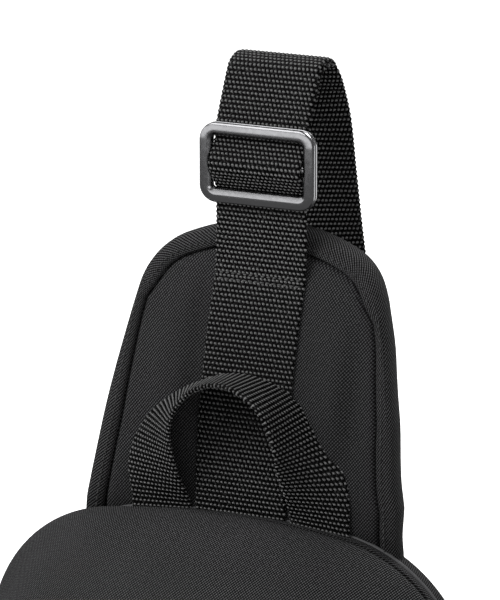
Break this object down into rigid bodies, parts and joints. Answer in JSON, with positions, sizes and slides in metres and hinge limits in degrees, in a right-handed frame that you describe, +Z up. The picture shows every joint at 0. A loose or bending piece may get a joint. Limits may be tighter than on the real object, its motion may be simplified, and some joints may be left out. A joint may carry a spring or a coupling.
{
  "type": "sling bag",
  "caption": "Cloth sling bag with a padded yoke, a webbing shoulder strap through a tri-glide slider, a grab handle, a zipped main compartment and a zipped front pocket.",
  "frame": {"origin": "centre of the bag's footprint, on the surface that it stands on", "axes": "+Z up; -Y out of the bag's front, +Y towards the wearer's back; +X to the viewer's right when looking at the front"},
  "size_m": [0.2, 0.1468, 0.4823],
  "materials": {
    "body_cloth": "matt woven polyester",
    "binding_cloth": "fine twill",
    "back_mesh": "air mesh",
    "lining": "smooth lining",
    "foam": "closed cell foam",
    "webbing": "ribbed webbing",
    "zip_tape": "coil zip",
    "slider_metal": "gunmetal satin",
    "zip_metal": "dark satin",
    "board": "matt"
  },
  "bodies": {
    "bag": {"back_panel": "back_mesh", "back_foam": "foam", "back_lining": "lining", "rear_gusset": "body_cloth", "main_zip_rear": "zip_tape", "zip_stops": "zip_metal", "yoke_front": "body_cloth", "yoke_foam": "foam", "yoke_back": "back_mesh", "yoke_binding": "binding_cloth", "yoke_webbing": "webbing", "webbing_below_slider": "webbing", "webbing_above_slider": "webbing", "webbing_loop_top": "webbing", "strap_inner_end": "webbing", "strap_webbing": "webbing", "wing_tab": "body_cloth"},
    "front": {"front_shell": "body_cloth", "front_lining": "lining", "base_board": "board", "main_zip_front": "zip_tape", "pocket_panel": "body_cloth", "pocket_zip_upper": "zip_tape", "pocket_zip_lower": "zip_tape"},
    "strap_slider": {"slider_frame": "slider_metal", "webbing_in_slider": "webbing", "strap_end_loop": "webbing"},
    "handle": {"grab_handle": "webbing"},
    "main_slider": {"main_zip_slider": "zip_metal"},
    "main_pull": {"main_zip_pull": "zip_metal"},
    "pocket_slider": {"pocket_zip_slider": "zip_metal"},
    "pocket_pull": {"pocket_zip_pull": "zip_metal"}
  },
  "joints": [
    {"name": "front_fold", "type": "hinge", "parent": "bag", "child": "front", "pos_m": [0, 0.0111, 0], "axis": [1, 0, 0], "range_deg": [0, 70]},
    {"name": "strap_slide", "type": "slide", "parent": "bag", "child": "strap_slider", "axis": [0, 0, 1], "range_m": [-0.014, 0], "deforming": ["webbing_below_slider", "webbing_above_slider", "strap_inner_end"]},
    {"name": "handle_swing", "type": "hinge", "parent": "bag", "child": "handle", "pos_m": [0, 0.0181, 0.3082], "axis": [1, 0, 0], "range_deg": [0, 48]},
    {"name": "main_zip", "type": "slide", "parent": "bag", "child": "main_slider", "axis": [0, 0, 1], "range_m": [0, 0.175]},
    {"name": "main_pull_flip", "type": "hinge", "parent": "main_slider", "child": "main_pull", "pos_m": [0.09715, 0.0111, 0.0644], "axis": [0, -1, 0], "range_deg": [0, 175]},
    {"name": "pocket_zip", "type": "slide", "parent": "front", "child": "pocket_slider", "axis": [1, 0, 0], "range_m": [0, 0.096]},
    {"name": "pocket_pull_flip", "type": "hinge", "parent": "pocket_slider", "child": "pocket_pull", "pos_m": [-0.0496, -0.0667, 0.19015], "axis": [0, -1, 0], "range_deg": [0, 175]}
  ]
}
